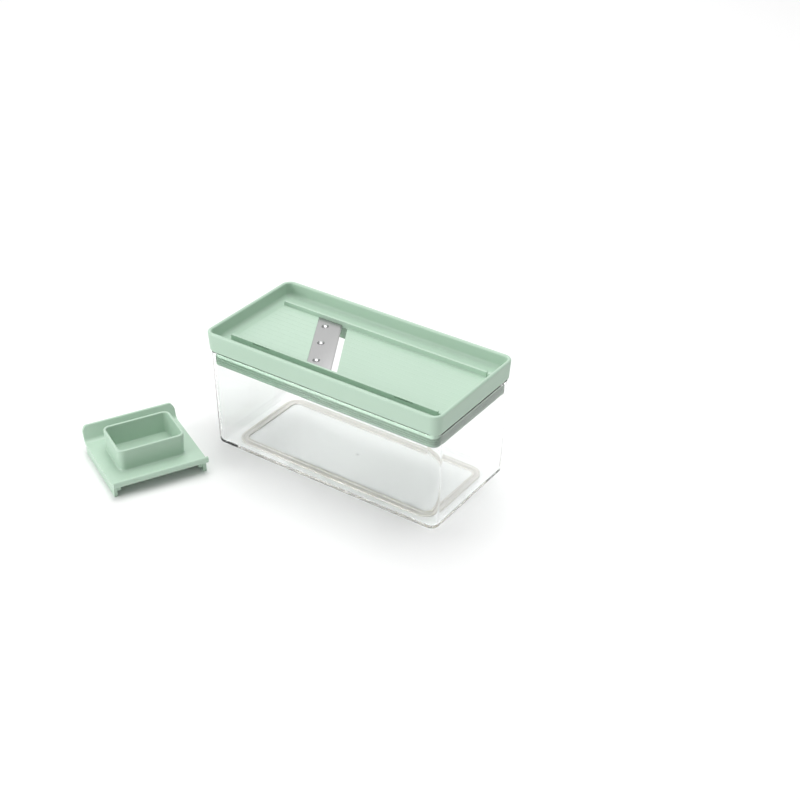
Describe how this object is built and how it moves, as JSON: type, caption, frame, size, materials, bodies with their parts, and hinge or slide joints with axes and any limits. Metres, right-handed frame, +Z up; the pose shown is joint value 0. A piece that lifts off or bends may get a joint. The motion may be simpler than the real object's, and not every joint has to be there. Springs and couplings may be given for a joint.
{
  "type": "mandoline slicer",
  "caption": "Clear box with a slicer frame on its top edge: slanted riveted blade, guide rails and a food holder lying beside it.",
  "frame": {"origin": "centre of the set's footprint, on the table it stands on", "axes": "+X along the container's length, with the cut made towards -X; +Y across it; +Z up"},
  "size_m": [0.3075, 0.218, 0.109],
  "materials": {
    "clear_plastic": "clear glossy moulded plastic",
    "soft_ring": "soft translucent, satin",
    "green_plastic": "satin moulded plastic",
    "green_seal": "soft satin",
    "blade_steel": "brushed along the cutting edge",
    "rivet_steel": "polished"
  },
  "bodies": {
    "container": {"container": "clear_plastic", "non_slip_ring": "soft_ring"},
    "slicer_frame": {"slicer_frame": "green_plastic", "frame_seal": "green_seal", "slicing_blade": "blade_steel", "blade_rivets": "rivet_steel"},
    "food_holder": {"food_holder": "green_plastic", "holder_pins": "rivet_steel"}
  },
  "joints": [
    {"name": "frame_lift", "type": "slide", "parent": "container", "child": "slicer_frame", "axis": [0, 0, 1], "range_m": [0, 0.06]},
    {"name": "holder_lift", "type": "slide", "parent": "container", "child": "food_holder", "axis": [0, 0, 1], "range_m": [0, 0.12]}
  ]
}
